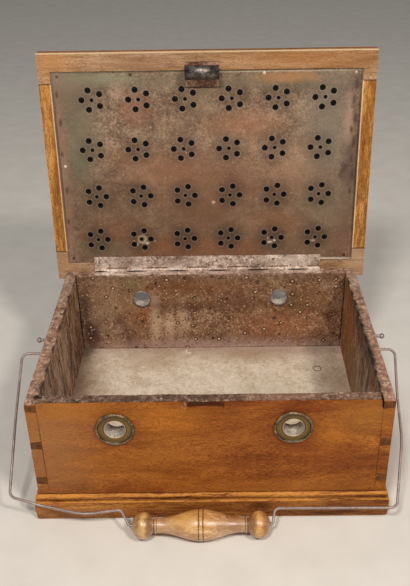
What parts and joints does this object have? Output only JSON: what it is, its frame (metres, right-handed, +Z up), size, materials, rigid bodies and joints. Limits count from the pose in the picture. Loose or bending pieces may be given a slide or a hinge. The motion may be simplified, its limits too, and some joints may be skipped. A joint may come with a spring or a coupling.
{
  "type": "antique foot warmer",
  "caption": "Dovetailed wooden foot warmer box lined with tinned sheet, with a pierced lid on a long hinge, a spring catch, side vents and a wire bail with a turned wooden grip.",
  "frame": {"origin": "centre of the box's underside, on the surface that it stands on", "axes": "+X to the right seen from the front, +Y to the back where the hinge is, +Z up"},
  "size_m": [0.341, 0.2827, 0.3341],
  "materials": {
    "box_wood": "old shellac over oak, worn and ambered",
    "lid_wood": "paler unpolished inner side of the lid",
    "turned_wood": "turned and polished by hands",
    "tinned_sheet": "tinned iron sheet, browned and pitted by heat",
    "floor_sheet": "tinned iron sheet, paler and stained",
    "lid_sheet": "tinned iron sheet, dull grey brown",
    "bright_tin": "tinned tube, light grey",
    "dull_brass": "dark tarnished brass",
    "hinge_steel": "old steel with a brown bloom",
    "wire_steel": "drawn iron wire, dull",
    "steel": "worn iron",
    "spring_steel": "blackened spring strip, glossy"
  },
  "bodies": {
    "box": {"front_board": "box_wood", "back_board": "box_wood", "left_board": "box_wood", "right_board": "box_wood", "bottom_board": "box_wood", "raised_floor": "box_wood", "base_front": "box_wood", "base_back": "box_wood", "base_left": "box_wood", "base_right": "box_wood", "liner_floor": "floor_sheet", "liner_front": "tinned_sheet", "liner_back": "tinned_sheet", "liner_left": "tinned_sheet", "liner_right": "tinned_sheet", "liner_tacks": "steel", "front_left_rosette": "dull_brass", "front_right_rosette": "dull_brass", "rear_left_rosette": "dull_brass", "rear_right_rosette": "dull_brass", "front_left_tube": "bright_tin", "front_right_tube": "bright_tin", "rear_left_tube": "bright_tin", "rear_right_tube": "bright_tin", "hinge_box_leaf": "hinge_steel", "hinge_box_nails": "steel", "pivot_plate_left": "hinge_steel", "pivot_plate_right": "hinge_steel", "pivot_plate_nails": "steel", "side_stud_left": "steel", "side_stud_right": "steel"},
    "lid": {"lid_front_rail": "lid_wood", "lid_back_rail": "lid_wood", "lid_left_stile": "lid_wood", "lid_right_stile": "lid_wood", "lid_panel": "lid_wood", "lid_plate": "lid_sheet", "lid_plate_tacks": "steel", "hinge_lid_leaf": "hinge_steel", "hinge_lid_nails": "steel", "hinge_pin": "steel", "catch_plate": "lid_sheet", "catch_roll": "spring_steel", "catch_nails": "steel"},
    "bail": {"bail_wire": "wire_steel"},
    "grip": {"grip": "turned_wood"}
  },
  "joints": [
    {"name": "lid_hinge", "type": "hinge", "parent": "box", "child": "lid", "pos_m": [0, 0.10735, 0.12205], "axis": [1, 0, 0], "range_deg": [0, 95.2]},
    {"name": "bail_swing", "type": "hinge", "parent": "box", "child": "bail", "pos_m": [0, 0, 0.0955], "axis": [-1, 0, 0], "range_deg": [0, 158]},
    {"name": "grip_turn", "type": "hinge", "parent": "bail", "child": "grip", "pos_m": [-0.0089, -0.13044, 0.01288], "axis": [1, 0, 0], "continuous": true}
  ]
}
